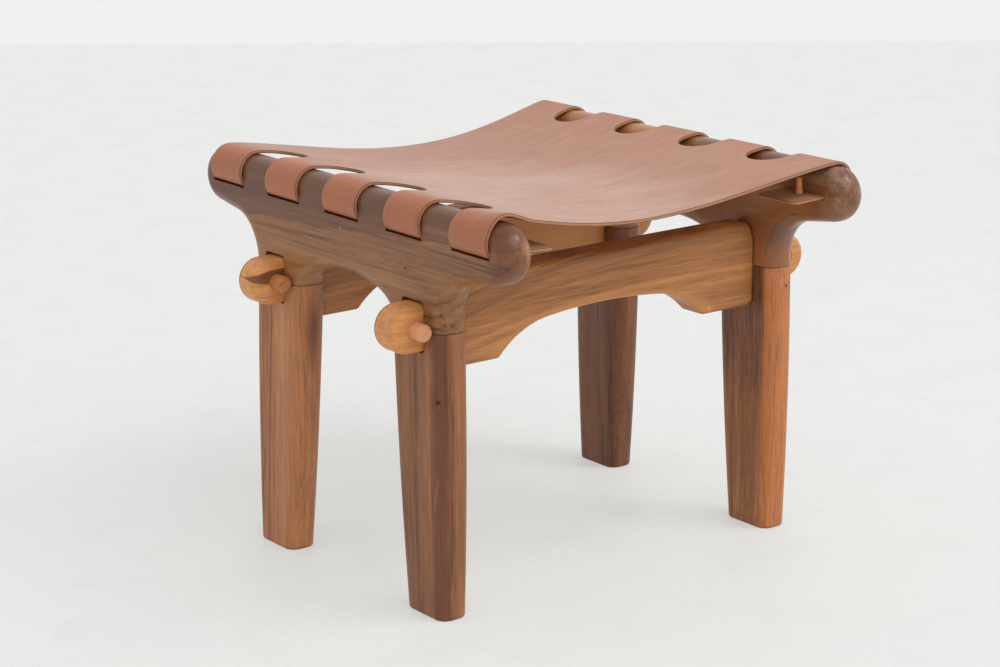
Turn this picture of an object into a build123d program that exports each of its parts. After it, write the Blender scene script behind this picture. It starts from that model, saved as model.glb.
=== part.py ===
from build123d import *
import math
import os

os.makedirs("parts", exist_ok=True)

# Low sling stool that comes apart without tools. Two carved end frames stand across its length, two boards
# on edge join them with pegged tongues, and a sheet of saddle leather hangs between the two rails.
# X runs from one end frame to the other, Y along the rails, Z up. The origin is on the floor, in the middle.

# Heights: the joint line between leg and neck, and the rail above it
joint_height = 284.7
rail_height = 116.8

# End rail: one plank with two necks, an arch between them and a blunt nose at each end
rail_inner_x = 191.2
neck_thickness = 38.2
bar_thickness = 35.8
rail_edge_round = 16.5
rail_round_limit_share = 0.48
rail_half_length = 259.0
rail_overhang = 98.4
neck_width = 84.1
nose_radius = 28.5
throat_radius = 46.0
underside_slope = 8.6
arch_rise = 28.8

# Leg: tapers from the neck down to the foot and swells a little halfway. The front feet stand further in
foot_size_x = 33.2
foot_size_y = 62.0
front_foot_set_in_x = 1.8
back_foot_set_out_x = 4.2
foot_set_in_y = 2.1
foot_corner = 12.5
foot_edge_round = 2.5
leg_swell = 2.5
joint_groove = 0.6

# Hidden dowels between leg and neck
dowel_radius = 5.0
dowel_length = 50.0
dowel_chamfer = 1.0
dowel_fit = 0.05
dowel_end_gap = 1.0

# Stretcher: a board on edge with an arched lower edge
stretcher_thickness = 34.0
stretcher_above_joint = 45.0
stretcher_below_joint = 42.5
stretcher_arch_rise = 35.5
stretcher_arch_shift = 8.5
stretcher_foot_length = 60.2
stretcher_knee_share = 0.535
stretcher_knee_drop = 4.0
stretcher_top_round = 7.0
stretcher_corner_round = 11.0
stretcher_arch_corner = 5.0
stretcher_arch_round = 3.5
shoulder_gap = 0.2

# Tongue at each end of a stretcher, and the mortise that it passes through
tongue_above_joint = 1.2
tongue_height = 46.0
tongue_reach = 35.6
tongue_edge_round = 8.0
mortise_corner = 4.0
mortise_side_gap = 0.5
mortise_bottom_gap = 0.4
mortise_top_gap = 3.0

# Tusk peg: a tapered round peg through the tongue, outside the leg. Its thick end stands out further.
# The pegs of the left-hand frame are driven from the front, those of the right-hand frame from the back
peg_head_radius = 8.8
peg_tip_radius = 7.8
peg_head_reach = 17.5
peg_tip_reach = 2.0
peg_above_joint = 2.0
peg_end_round = 5.0
peg_fit = 0.05
peg_seat_gap = 0.3

# Leather sling with five tabs at each end
leather = 3.2
leather_gap = 0.3
tab_count = 5
tab_width = 56.0
tab_end_inset = 25.4
cut_reach = 22.6
deck_sag = 26.5
deck_skew_share = 0.24
deck_sag_power = 1.55
deck_spline_points = 11

# Slot through the rail for each tab, and the flap that comes out of it
slot_height = 4.4
slot_end_gap = 0.8
slot_turn_angle = 26.0
slot_turn_radius = 6.0
flap_length = 40.6
flap_corner = 9.0

# Strap peg: a small tapered peg that stands in the flap
strap_peg_gap = 2.5
strap_peg_top_radius = 2.4
strap_peg_foot_radius = 4.6
strap_peg_above = 15.8
strap_peg_below = 5.8
strap_peg_round = 0.8

# One overrun for every cut
overrun = 20.0

# The rail's place, worked out from the sizes above
rail_top = joint_height + rail_height
neck_outer_y = rail_half_length - rail_overhang
neck_inner_y = neck_outer_y - neck_width
joint_mid_y = (neck_inner_y + neck_outer_y) / 2
neck_outer_x = rail_inner_x + neck_thickness
neck_mid_x = rail_inner_x + neck_thickness / 2
bar_x = rail_inner_x + bar_thickness / 2
bar_z = rail_top - bar_thickness / 2
flank_lean = (neck_thickness - bar_thickness) / (bar_z - joint_height)
crest_thickness = neck_thickness - flank_lean * rail_height
edge_round = min(rail_edge_round, rail_round_limit_share * crest_thickness)

# Feet, stretchers and pegs follow the necks
foot_centre_y = neck_outer_y - foot_set_in_y - foot_size_y / 2
stretcher_y = joint_mid_y
stretcher_top = joint_height + stretcher_above_joint
stretcher_bottom = joint_height - stretcher_below_joint
stretcher_arch_crown = stretcher_bottom + stretcher_arch_rise
stretcher_arch_half = rail_inner_x - stretcher_foot_length
tongue_z = joint_height + tongue_above_joint
tongue_end_x = neck_outer_x + tongue_reach
peg_x = neck_outer_x + peg_seat_gap + peg_head_radius
peg_z = joint_height + peg_above_joint
peg_length = stretcher_thickness + peg_head_reach + peg_tip_reach
peg_drives = {"left": -1, "right": 1}

# The leather follows the bar at a small clearance
corner_inset = bar_thickness / 2 - edge_round
wrap_inner = edge_round + corner_inset * math.sqrt(2) + leather_gap
wrap_mid = wrap_inner + leather / 2
wrap_outer = wrap_inner + leather
deck_z = bar_z + wrap_mid
tab_pitch = 2 * (rail_half_length - tab_end_inset - tab_width / 2) / (tab_count - 1)
tab_places = [tab_pitch * (number - (tab_count - 1) / 2) for number in range(tab_count)]
sling_half_width = tab_places[-1] + tab_width / 2
cut_end_x = rail_inner_x - cut_reach
turn = math.radians(slot_turn_angle)
turn_centre_x = bar_x + (wrap_mid - slot_turn_radius) * math.cos(turn)
turn_centre_z = bar_z - (wrap_mid - slot_turn_radius) * math.sin(turn)
flap_z = turn_centre_z - slot_turn_radius
flap_end_x = rail_inner_x - flap_length
slot_top = flap_z + leather / 2 + leather_gap
strap_peg_x = rail_inner_x - strap_peg_gap - strap_peg_foot_radius
strap_peg_foot_z = flap_z - leather / 2 - strap_peg_below
strap_peg_top_z = flap_z + leather / 2 + strap_peg_above


def along_y(face, low, high):
    """Extrude a face that lies in the XZ plane from y = low to y = high."""
    return extrude(face.moved(Location((0, high, 0))), high - low, dir=(0, -1, 0))


def along_x(face, low, high):
    """Extrude a face that lies in the YZ plane from x = low to x = high."""
    return extrude(face.moved(Location((low, 0, 0))), high - low, dir=(1, 0, 0))


def xz_face(edges):
    """Face in the XZ plane from edges that are drawn with their second number as the height."""
    return make_face(Plane((0, 0, 0), x_dir=(1, 0, 0), z_dir=(0, -1, 0)) * Curve(edges))


def yz_face(edges):
    """Face in the YZ plane from edges that are drawn with their second number as the height."""
    return make_face(Plane.YZ * Curve(edges))


def rail_outline():
    """Side view of a rail: necks, throats, noses and the arch, drawn as (y, z)."""
    slope = math.radians(underside_slope)
    normal = Vector(-math.sin(slope), math.cos(slope))
    nose = Vector(rail_half_length - nose_radius, rail_top - nose_radius)
    nose_foot = nose - normal * nose_radius
    corner_z = nose_foot.Y - (nose_foot.X - neck_outer_y) * math.tan(slope)
    tangent_share = math.tan((math.pi / 2 - slope) / 2)
    throat_round = min(throat_radius, (corner_z - joint_height) / tangent_share)
    throat = Vector(neck_outer_y + throat_round, corner_z - throat_round * tangent_share)
    half = [
        Line((neck_inner_y, joint_height), (neck_outer_y, joint_height)),
        CenterArc(throat, throat_round, 180, underside_slope - 90),
        Line(throat + normal * throat_round, nose_foot),
        CenterArc(nose, nose_radius, underside_slope - 90, 180 - underside_slope),
        Line((nose.X, rail_top), (0, rail_top)),
        EllipticalCenterArc((0, joint_height), neck_inner_y, arch_rise, start_angle=0, arc_size=90),
    ]
    if throat.Y > joint_height:
        half.append(Line((neck_outer_y, joint_height), (neck_outer_y, throat.Y)))
    return half + [mirror(edge, about=Plane.YZ) for edge in half]


def flank_x(height):
    """Distance of a rail's outer face from the middle at a height: it leans in towards the bar."""
    return neck_outer_x - flank_lean * (height - joint_height)


def foot_centre_x(side):
    """Distance of a foot's centre from the middle, on the front (-1) or back (+1) side."""
    set_out = -front_foot_set_in_x if side < 0 else back_foot_set_out_x
    return neck_outer_x + set_out - foot_size_x / 2


def mortise_cut(side):
    """Tool for the mortise that leg and neck share, on the front (-1) or back (+1) side."""
    width = stretcher_thickness + 2 * mortise_side_gap
    height = tongue_height + mortise_bottom_gap + mortise_top_gap
    centre_z = tongue_z + (mortise_top_gap - mortise_bottom_gap) / 2
    section = RectangleRounded(width, height, mortise_corner)
    face = Plane((0, side * stretcher_y, centre_z), x_dir=(0, 1, 0), z_dir=(1, 0, 0)) * section
    return along_x(face, rail_inner_x - overrun, neck_outer_x + overrun)


def dowel_places(side):
    """The two dowels of a leg: midway in the wood on each side of the mortise."""
    half_mortise = stretcher_thickness / 2 + mortise_side_gap
    inner = (neck_inner_y + stretcher_y - half_mortise) / 2
    outer = (neck_outer_y + stretcher_y + half_mortise) / 2
    return {"inner": side * inner, "outer": side * outer}


def dowel_holes(side):
    """Bores for the dowels of one leg, half in the leg and half in the neck."""
    depth = dowel_length + 2 * dowel_end_gap
    bore = Cylinder(dowel_radius + dowel_fit, depth)
    return [Pos(neck_mid_x, place, joint_height) * bore for place in dowel_places(side).values()]


def slot_cut(place):
    """Slot for one tab. Its outer mouth is scooped so that the leather turns in round a soft lip."""
    lip = wrap_inner - leather_gap
    turn_lip = slot_turn_radius - leather / 2 - leather_gap
    far_x = neck_outer_x + overrun
    near_x = rail_inner_x - overrun
    scoop_end = Vector(bar_x + lip * math.cos(turn), bar_z - lip * math.sin(turn))
    edges = [
        Line((near_x, slot_top - slot_height), (far_x, slot_top - slot_height)),
        Line((far_x, slot_top - slot_height), (far_x, bar_z)),
        Line((far_x, bar_z), (bar_x + lip, bar_z)),
        CenterArc((bar_x, bar_z), lip, 0, -slot_turn_angle),
        CenterArc((turn_centre_x, turn_centre_z), turn_lip, -slot_turn_angle, slot_turn_angle - 90),
        Line((turn_centre_x, slot_top), (near_x, slot_top)),
        Line((near_x, slot_top), (near_x, slot_top - slot_height)),
    ]
    half = tab_width / 2 + slot_end_gap
    return along_y(xz_face(edges), place - half, place + half)


def make_rail():
    """Right-hand end rail with its mortises, dowel bores and slots."""
    plank = along_x(yz_face(rail_outline()), rail_inner_x - overrun, neck_outer_x + overrun)
    low = joint_height - overrun
    high = rail_top + overrun
    flanks = Polyline(
        (rail_inner_x, low), (flank_x(low), low), (flank_x(high), high), (rail_inner_x, high), close=True
    )
    rail = plank & along_y(xz_face([flanks]), -rail_half_length - overrun, rail_half_length + overrun)
    rims = [
        edge
        for face in rail.faces().filter_by(GeomType.PLANE)
        if abs(face.normal_at().X) > abs(face.normal_at().Y) + abs(face.normal_at().Z)
        for edge in face.edges()
        if edge.bounding_box().max.Z > joint_height + leather_gap
    ]
    rail = fillet(rims, edge_round)
    for side in (-1, 1):
        rail -= mortise_cut(side)
        for bore in dowel_holes(side):
            rail -= bore
    for place in tab_places:
        rail -= slot_cut(place)
    return rail


def make_leg(side):
    """Right-hand leg on the front (-1) or back (+1) side."""
    foot_x = foot_centre_x(side)
    foot = RectangleRounded(foot_size_x, foot_size_y, foot_corner)
    foot = Pos(foot_x, side * foot_centre_y) * foot
    head = RectangleRounded(neck_thickness, neck_width, edge_round)
    head = Pos(neck_mid_x, side * joint_mid_y, joint_height) * head
    waist = RectangleRounded(
        (foot_size_x + neck_thickness) / 2,
        (foot_size_y + neck_width) / 2 + 2 * leg_swell,
        (foot_corner + edge_round) / 2,
    )
    waist = Pos((foot_x + neck_mid_x) / 2, side * (foot_centre_y + joint_mid_y) / 2, joint_height / 2) * waist
    leg = loft([foot, waist, head])
    leg = fillet(leg.edges().group_by(Axis.Z)[0], foot_edge_round)
    leg = chamfer(leg.edges().group_by(Axis.Z)[-1], joint_groove)
    leg -= mortise_cut(side)
    for bore in dowel_holes(side):
        leg -= bore
    return leg


def stretcher_board(side):
    """The board between the shoulders, with its arched lower edge."""
    knee = (stretcher_arch_half * stretcher_knee_share, stretcher_arch_crown - stretcher_knee_drop)
    crown = TangentArc((0, stretcher_arch_crown), knee, tangent=(1, 0))
    haunch = TangentArc(knee, (stretcher_arch_half, stretcher_bottom), tangent=crown % 1)
    arch = [crown, haunch]
    arch += [mirror(edge, about=Plane.YZ) for edge in arch]
    arch = [edge.moved(Location((-stretcher_arch_shift, 0, 0))) for edge in arch]
    end_x = rail_inner_x - shoulder_gap
    corner = (end_x - stretcher_corner_round, stretcher_top - stretcher_corner_round)
    end = [
        Line((end_x, stretcher_bottom), (end_x, corner[1])),
        CenterArc(corner, stretcher_corner_round, 0, 90),
        Line((corner[0], stretcher_top), (0, stretcher_top)),
    ]
    end += [mirror(edge, about=Plane.YZ) for edge in end]
    feet = []
    for hand in (-1, 1):
        foot_start = (hand * stretcher_arch_half - stretcher_arch_shift, stretcher_bottom)
        feet.append(Line(foot_start, (hand * end_x, stretcher_bottom)))
    middle = side * stretcher_y
    profile = xz_face(arch + end + feet)
    board = along_y(profile, middle - stretcher_thickness / 2, middle + stretcher_thickness / 2)
    low_edges = board.edges().filter_by(Axis.Y).group_by(Axis.Z)[0]
    arch_corners = low_edges.sort_by(lambda edge: abs(edge.center().X))[:2]
    board = fillet(arch_corners, stretcher_arch_corner)
    long_edges = [edge for edge in board.edges() if abs(edge.center().Y - middle) > stretcher_thickness / 4]
    top_edges = [edge for edge in long_edges if edge.center().Z > stretcher_top - stretcher_top_round / 2]
    board = fillet(top_edges, stretcher_top_round)
    long_edges = [edge for edge in board.edges() if abs(edge.center().Y - middle) > stretcher_thickness / 4]
    arch_edges = [edge for edge in long_edges if edge.geom_type == GeomType.CIRCLE]
    arch_edges = [edge for edge in arch_edges if edge.center().Z < stretcher_arch_crown]
    return fillet(arch_edges, stretcher_arch_round)


def tongue(side):
    """Right-hand tongue: a bar that ends in a half disc, with its long edges rounded over."""
    radius = tongue_height / 2
    disc_x = tongue_end_x - radius
    root_x = rail_inner_x - tongue_height
    profile = [
        Line((root_x, tongue_z - radius), (disc_x, tongue_z - radius)),
        CenterArc((disc_x, tongue_z), radius, -90, 180),
        Line((disc_x, tongue_z + radius), (root_x, tongue_z + radius)),
        Line((root_x, tongue_z + radius), (root_x, tongue_z - radius)),
    ]
    middle = side * stretcher_y
    bar = along_y(xz_face(profile), middle - stretcher_thickness / 2, middle + stretcher_thickness / 2)
    rims = [
        edge
        for edge in bar.edges()
        if abs(edge.center().Y - middle) > stretcher_thickness / 4 and edge.center().X > root_x + overrun / 2
    ]
    return fillet(rims, tongue_edge_round)


def peg_shape(grow):
    """Tusk peg about the origin along Y, thick end towards -Y, with its surface moved out by grow."""
    cone = Cone(peg_head_radius + grow, peg_tip_radius + grow, peg_length)
    return Rot(X=-90) * cone


def peg_on(side, drive, grow):
    """Tusk peg in its place in the right-hand tongue, driven in from the front (-1) or the back (+1)."""
    middle = side * stretcher_y + drive * (peg_head_reach - peg_tip_reach) / 2
    turn_about = 0 if drive < 0 else 180
    return Pos(peg_x, middle, peg_z) * Rot(Z=turn_about) * peg_shape(grow)


def make_stretcher(side):
    """Stretcher with a tongue at each end and a tapered bore for each tusk peg."""
    right = tongue(side)
    bar = stretcher_board(side) + right + mirror(right, about=Plane.YZ)
    bar -= peg_on(side, peg_drives["right"], peg_fit)
    return bar - mirror(peg_on(side, peg_drives["left"], peg_fit), about=Plane.YZ)


def make_peg(side, drive):
    """Tusk peg of the right-hand frame with eased ends."""
    peg = peg_on(side, drive, 0)
    return fillet(peg.edges().filter_by(GeomType.CIRCLE), peg_end_round)


def make_dowel(place):
    """Right-hand dowel at a place along Y, with chamfered ends."""
    dowel = Pos(neck_mid_x, place, joint_height) * Cylinder(dowel_radius, dowel_length)
    return chamfer(dowel.edges().filter_by(GeomType.CIRCLE), dowel_chamfer)


def deck_height(x, end):
    """Height of the leather's middle layer over the span, at the front (-1) or back (+1) edge.

    The low line runs askew: it lies to the left at the front edge and to the right at the back edge.
    """
    along = x / bar_x
    shifted = along - end * deck_skew_share * (1 - along**2)
    return deck_z - deck_sag * max(0, 1 - shifted**2) ** deck_sag_power


def deck_section(end):
    """Section of the hanging span at one edge of the leather."""
    steps = [2 * number / (deck_spline_points - 1) - 1 for number in range(deck_spline_points)]
    middle = [(bar_x * step, deck_height(bar_x * step, end)) for step in steps]
    over = [(x, z + leather / 2) for x, z in middle]
    under = [(x, z - leather / 2) for x, z in middle]
    level = [(1, 0), (1, 0)]
    edges = [
        Spline(over, tangents=level),
        Line(over[-1], under[-1]),
        Spline(under, tangents=level),
        Line(under[0], over[0]),
    ]
    return xz_face(edges).moved(Location((0, end * sling_half_width, 0)))


def make_tab(place):
    """Right-hand tab: over the bar, in through the slot and out as a flap with round corners."""
    turn_in = slot_turn_radius - leather / 2
    turn_out = slot_turn_radius + leather / 2
    edges = [
        Line((bar_x, bar_z + wrap_inner), (bar_x, bar_z + wrap_outer)),
        CenterArc((bar_x, bar_z), wrap_outer, 90, -90 - slot_turn_angle),
        CenterArc((turn_centre_x, turn_centre_z), turn_out, -slot_turn_angle, slot_turn_angle - 90),
        Line((turn_centre_x, flap_z - leather / 2), (flap_end_x, flap_z - leather / 2)),
        Line((flap_end_x, flap_z - leather / 2), (flap_end_x, flap_z + leather / 2)),
        Line((flap_end_x, flap_z + leather / 2), (turn_centre_x, flap_z + leather / 2)),
        CenterArc((turn_centre_x, turn_centre_z), turn_in, -90, 90 - slot_turn_angle),
        CenterArc((bar_x, bar_z), wrap_inner, -slot_turn_angle, 90 + slot_turn_angle),
    ]
    tab = along_y(xz_face(edges), place - tab_width / 2, place + tab_width / 2)
    corners = tab.edges().filter_by(Axis.Z).group_by(Axis.X)[0]
    tab = fillet(corners, flap_corner)
    hole_radius = strap_peg_radius(flap_z - leather / 2) + leather_gap
    return tab - Pos(strap_peg_x, place, flap_z) * Cylinder(hole_radius, leather + overrun)


def tab_gap_cut(place):
    """Tool for the round-ended gap between two tabs, seen from above."""
    radius = (tab_pitch - tab_width) / 2
    centre_x = cut_end_x + radius
    far_x = bar_x + overrun
    plan = Pos((centre_x + far_x) / 2, place) * Rectangle(far_x - centre_x, 2 * radius)
    plan += Pos(centre_x, place) * Circle(radius)
    return extrude(plan.moved(Location((0, 0, bar_z))), wrap_outer + overrun)


def make_sling():
    """The leather: a hanging span cut between its tabs, and the ten tabs."""
    deck = loft([deck_section(-1), deck_section(1)], ruled=True)
    for near, far in zip(tab_places, tab_places[1:]):
        gap = tab_gap_cut((near + far) / 2)
        deck -= gap
        deck -= mirror(gap, about=Plane.YZ)
    for place in tab_places:
        tab = make_tab(place)
        deck += tab
        deck += mirror(tab, about=Plane.YZ)
    return deck


def strap_peg_radius(height):
    """Radius of a strap peg at a height: it thins towards its top."""
    share = (height - strap_peg_foot_z) / (strap_peg_top_z - strap_peg_foot_z)
    return strap_peg_foot_radius + (strap_peg_top_radius - strap_peg_foot_radius) * share


def make_strap_peg(place):
    """Right-hand strap peg, standing in its flap close to the rail."""
    cone = Cone(strap_peg_foot_radius, strap_peg_top_radius, strap_peg_top_z - strap_peg_foot_z)
    peg = Pos(strap_peg_x, place, (strap_peg_foot_z + strap_peg_top_z) / 2) * cone
    return fillet(peg.edges().filter_by(GeomType.CIRCLE), strap_peg_round)


def write(name, right_solid, hand):
    """Write one node. Right-hand solids are mirrored for the left-hand end frame."""
    solid = right_solid if hand == "right" else mirror(right_solid, about=Plane.YZ)
    solid.label = name
    export_step(solid, f"parts/{name}.step")


sides = {"front": -1, "back": 1}

rail_solid = make_rail()
for hand in ("left", "right"):
    write(f"{hand}_rail", rail_solid, hand)

for side_name, side in sides.items():
    write(f"stretcher_{side_name}", make_stretcher(side), "right")
    leg_solid = make_leg(side)
    for hand, drive in peg_drives.items():
        write(f"leg_{side_name}_{hand}", leg_solid, hand)
        write(f"tusk_peg_{side_name}_{hand}", make_peg(side, drive), hand)
        for dowel_name, place in dowel_places(side).items():
            write(f"dowel_{side_name}_{hand}_{dowel_name}", make_dowel(place), hand)

write("leather_sling", make_sling(), "right")

for number, place in enumerate(tab_places, start=1):
    for hand in ("left", "right"):
        write(f"strap_peg_{hand}_{number}", make_strap_peg(place), hand)
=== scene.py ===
import math

import bmesh
import bpy
from mathutils import Matrix, Vector
from mathutils.geometry import delaunay_2d_cdt


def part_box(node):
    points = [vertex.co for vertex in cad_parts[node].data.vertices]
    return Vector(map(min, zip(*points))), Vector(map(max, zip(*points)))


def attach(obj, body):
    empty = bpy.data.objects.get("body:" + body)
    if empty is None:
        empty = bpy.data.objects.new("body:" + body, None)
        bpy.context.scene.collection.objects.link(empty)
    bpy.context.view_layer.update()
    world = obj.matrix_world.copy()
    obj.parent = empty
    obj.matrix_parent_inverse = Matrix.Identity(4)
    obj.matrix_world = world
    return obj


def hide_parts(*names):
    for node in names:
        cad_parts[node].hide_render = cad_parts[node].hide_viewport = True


# Low sling stool: a sheet of saddle leather hung between two carved walnut end frames, which pegged
# stretchers join. X runs from end frame to end frame, Y along the rails from the front to the back, and Z
# up, all in metres. The wood and leather patterns are worked out in millimetres.

bl_info = {
    "name": "Leather sling stool",
    "version": (1, 0, 0),
    "blender": (4, 5, 0),
    "location": "View3D > Sidebar > Sling stool",
    "description": "Builds the finish, the leather and the stage of a pegged sling stool",
    "category": "Object",
}

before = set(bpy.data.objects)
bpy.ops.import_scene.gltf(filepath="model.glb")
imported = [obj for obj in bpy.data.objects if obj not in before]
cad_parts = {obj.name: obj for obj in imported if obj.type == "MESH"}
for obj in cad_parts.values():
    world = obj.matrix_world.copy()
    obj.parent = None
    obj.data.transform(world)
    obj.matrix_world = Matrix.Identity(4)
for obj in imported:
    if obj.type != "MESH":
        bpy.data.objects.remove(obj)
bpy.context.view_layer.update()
sling_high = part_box("leather_sling")[1]
rail_low, rail_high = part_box("right_rail")
leg_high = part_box("leg_front_left")[1]

MM = 0.001


def rgb(red, green, blue):
    """Linear colour from the 0 to 255 numbers that a colour picker shows."""
    def linear(part):
        part /= 255
        return part / 12.92 if part <= 0.04045 else ((part + 0.055) / 1.055) ** 2.4
    return (linear(red), linear(green), linear(blue), 1.0)


def number_prop(name, description, default, **options):
    return bpy.props.FloatProperty(name=name, description=description, default=default, **options)


def length_prop(name, description, millimetres):
    return number_prop(name, description, millimetres * MM, unit="LENGTH", precision=4)


def color_prop(name, description, *parts):
    return bpy.props.FloatVectorProperty(
        name=name, description=description, subtype="COLOR", size=4, min=0, max=1, default=rgb(*parts))


class LeatherSizes(bpy.types.PropertyGroup):
    """Sizes and colours of the hung leather."""
    thickness: length_prop("Thickness", "Thickness of the hide", 3.2)
    front_sag: length_prop("Front sag", "How far the front edge hangs below the rails", 22.8)
    back_sag: length_prop("Back sag", "How far the back edge hangs below the rails", 30.1)
    front_skew: number_prop(
        "Front skew", "How far left the front edge is lowest, as a share of half the span", 0.18)
    back_skew: number_prop(
        "Back skew", "How far right the back edge is lowest, as a share of half the span", 0.13)
    front_fullness: number_prop(
        "Front fullness", "Power that shapes the hanging curve of the front edge", 1.4)
    back_fullness: number_prop(
        "Back fullness", "Power that shapes the hanging curve of the back edge", 1.32)
    edge_lift: length_prop("Edge lift", "How far the front edge stands off the left bar", 4.6)
    turn: number_prop(
        "Turn-in angle", "Where the leather leaves the round of the bar for its slot",
        math.radians(26), subtype="ANGLE")
    turn_radius: length_prop("Turn-in radius", "Radius at which a tab turns into its slot", 6)
    tab_width: length_prop("Tab width", "Width of one tab", 56)
    flap_corner: length_prop("Flap corner", "Radius of the corners of a flap", 9)
    left_curl: length_prop("Left flap curl", "How far the ends of the left flaps curl down", 2)
    right_curl: length_prop("Right flap curl", "How far the ends of the right flaps curl down", 1.2)
    crease: length_prop("Crease depth", "Depth of the soft creases across the seat", 0.5)
    cell: length_prop("Mesh cell", "Distance between the mesh points of the hide", 4)
    grain_color: color_prop("Grain side", "Colour of the finished side", 184, 128, 102)
    # The dusty colour also paints the sheen of the seat.
    dust_and_sheen_color: color_prop("Dusty grain", "Colour of the grain side where it is rubbed", 206, 168, 148)
    scuff_color: color_prop("Scuffs", "Colour of the fine scuffs on the seat", 222, 196, 182)
    tab_color: color_prop(
        "Tabs", "Colour of the grain side where it is stretched over the bars", 176, 106, 70)
    crease_color: color_prop("Creases", "Colour in the creases of the grain side", 140, 82, 60)
    flesh_color: color_prop("Flesh side", "Colour of the raw back of the hide", 178, 128, 82)
    core_color: color_prop("Cut edge", "Colour of the middle of the cut edge", 176, 124, 88)
    edge_color: color_prop("Edge line", "Colour of the burnished corners of the cut edge", 98, 60, 42)


class WoodFinish(bpy.types.PropertyGroup):
    """Colours of the oiled wood."""
    rail_dark: color_prop("Rail, dark", "Dark streaks of the rails", 84, 54, 38)
    rail_middle: color_prop("Rail", "Main colour of the rails", 154, 101, 58)
    rail_light: color_prop("Rail, light", "Light streaks of the rails", 174, 120, 76)
    rail_heart: color_prop("Rail heartwood", "Purple-brown band along the top of the rails", 108, 60, 40)
    leg_dark: color_prop("Leg, dark", "Dark streaks of the legs", 84, 52, 36)
    leg_middle: color_prop("Leg", "Main colour of the legs", 156, 98, 60)
    leg_light: color_prop("Leg, light", "Light streaks of the legs", 196, 128, 76)
    leg_orange: color_prop("Orange wood", "Colour of the most orange leg faces", 202, 122, 66)
    board_dark: color_prop("Stretcher, dark", "Dark streaks of the stretchers", 100, 64, 40)
    board_middle: color_prop("Stretcher", "Main colour of the stretchers", 174, 114, 64)
    board_light: color_prop("Stretcher, light", "Light bands of the stretchers", 210, 144, 82)
    tongue: color_prop("Tongue", "Colour of the light tongue ends", 244, 168, 102)
    peg: color_prop("Pegs", "Colour of the pegs", 224, 160, 116)
    dowel: color_prop("Dowels", "Colour of the hidden dowels", 198, 160, 112)
    # Also paints the sheen on the top of the right nose.
    worn: color_prop("Worn wood", "Grey-brown of the worn rail ends", 196, 166, 140)
    # Also painted shade in the gaps at the stretcher shoulders.
    dirt_and_shade: color_prop("Dirt", "Colour in the joints and in the hearts of the knots", 38, 27, 20)


class StageSettings(bpy.types.PropertyGroup):
    """Floor and light."""
    floor_color: color_prop("Floor", "Colour of the floor", 236, 237, 234)
    stain_color: color_prop("Floor stains", "Colour of the faint stains on the floor", 170, 168, 160)
    grit_color: color_prop("Floor grit", "Colour of the fine grit on the floor", 170, 166, 160)
    speck_color: color_prop("Floor specks", "Colour of the specks on the floor", 120, 112, 102)
    wall_color: color_prop("Wall", "Colour of the wall behind", 243, 243, 242)
    room_color: color_prop("Room", "Colour of the light from all round", 250, 252, 255)
    room_strength: number_prop("Room strength", "Strength of the light from all round", 0.74)
    sun_strength: number_prop("Sky light", "Strength of the broad light from above the front", 0.95)
    window_power: number_prop(
        "Window light", "Power of the lamp that stands in for a window", 7, unit="POWER")
    floor_glow: number_prop("Floor brightness", "Share of the floor that shows its plain colour", 0.52)
    wall_glow: number_prop("Wall brightness", "Share of the wall that shows its plain colour", 0.8)


class Sock:
    """A number or a vector on its way through a node tree, so that its maths reads as sums."""

    def __init__(self, kit, socket):
        self.kit = kit
        self.socket = socket

    def math(self, operation, *others):
        return self.kit.add("ShaderNodeMath", {"operation": operation}, [self, *others])

    def __add__(self, other):
        return self.math("ADD", other)

    __radd__ = __add__

    def __sub__(self, other):
        return self.math("SUBTRACT", other)

    def __rsub__(self, other):
        return self.kit.add("ShaderNodeMath", {"operation": "SUBTRACT"}, [other, self])

    def __mul__(self, other):
        return self.math("MULTIPLY", other)

    __rmul__ = __mul__

    def __truediv__(self, other):
        return self.math("DIVIDE", other)

    def __pow__(self, other):
        return self.math("POWER", other)

    def __abs__(self):
        return self.math("ABSOLUTE")

    def sin(self):
        return self.math("SINE")

    def cos(self):
        return self.math("COSINE")

    def at_least(self, least):
        return self.math("MAXIMUM", least)

    def between(self, low, high):
        return self.kit.add("ShaderNodeClamp", {}, [self, low, high])

    def step(self, low, high):
        """0 at low, 1 at high, smooth between."""
        return self.kit.add(
            "ShaderNodeMapRange", {"interpolation_type": "SMOOTHSTEP"},
            {"Value": self, "From Min": low, "From Max": high})

    def below(self, low, high):
        """1 at low, 0 at high, smooth between."""
        return 1 - self.step(low, high)

    def parts(self):
        """The three numbers of a vector."""
        return [self.kit.add("ShaderNodeSeparateXYZ", {}, [self], index) for index in range(3)]


class Nodes:
    """Adds nodes to one tree."""

    def __init__(self, tree):
        self.tree = tree

    def add(self, kind, settings=None, inputs=None, output=0):
        node = self.tree.nodes.new(kind)
        for key, value in (settings or {}).items():
            setattr(node, key, value)
        pairs = inputs.items() if isinstance(inputs, dict) else enumerate(inputs or [])
        for key, value in pairs:
            self.put(node.inputs[key], value)
        return Sock(self, node.outputs[output])

    def put(self, socket, value):
        if isinstance(value, Sock):
            self.tree.links.new(value.socket, socket)
        else:
            socket.default_value = value

    def vector(self, x, y, z):
        return self.add("ShaderNodeCombineXYZ", {}, [x, y, z])

    def noise(self, vector, detail=3.0, roughness=0.5, scale=1.0):
        return self.add(
            "ShaderNodeTexNoise", {},
            {"Vector": vector, "Scale": scale, "Detail": detail, "Roughness": roughness})


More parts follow.
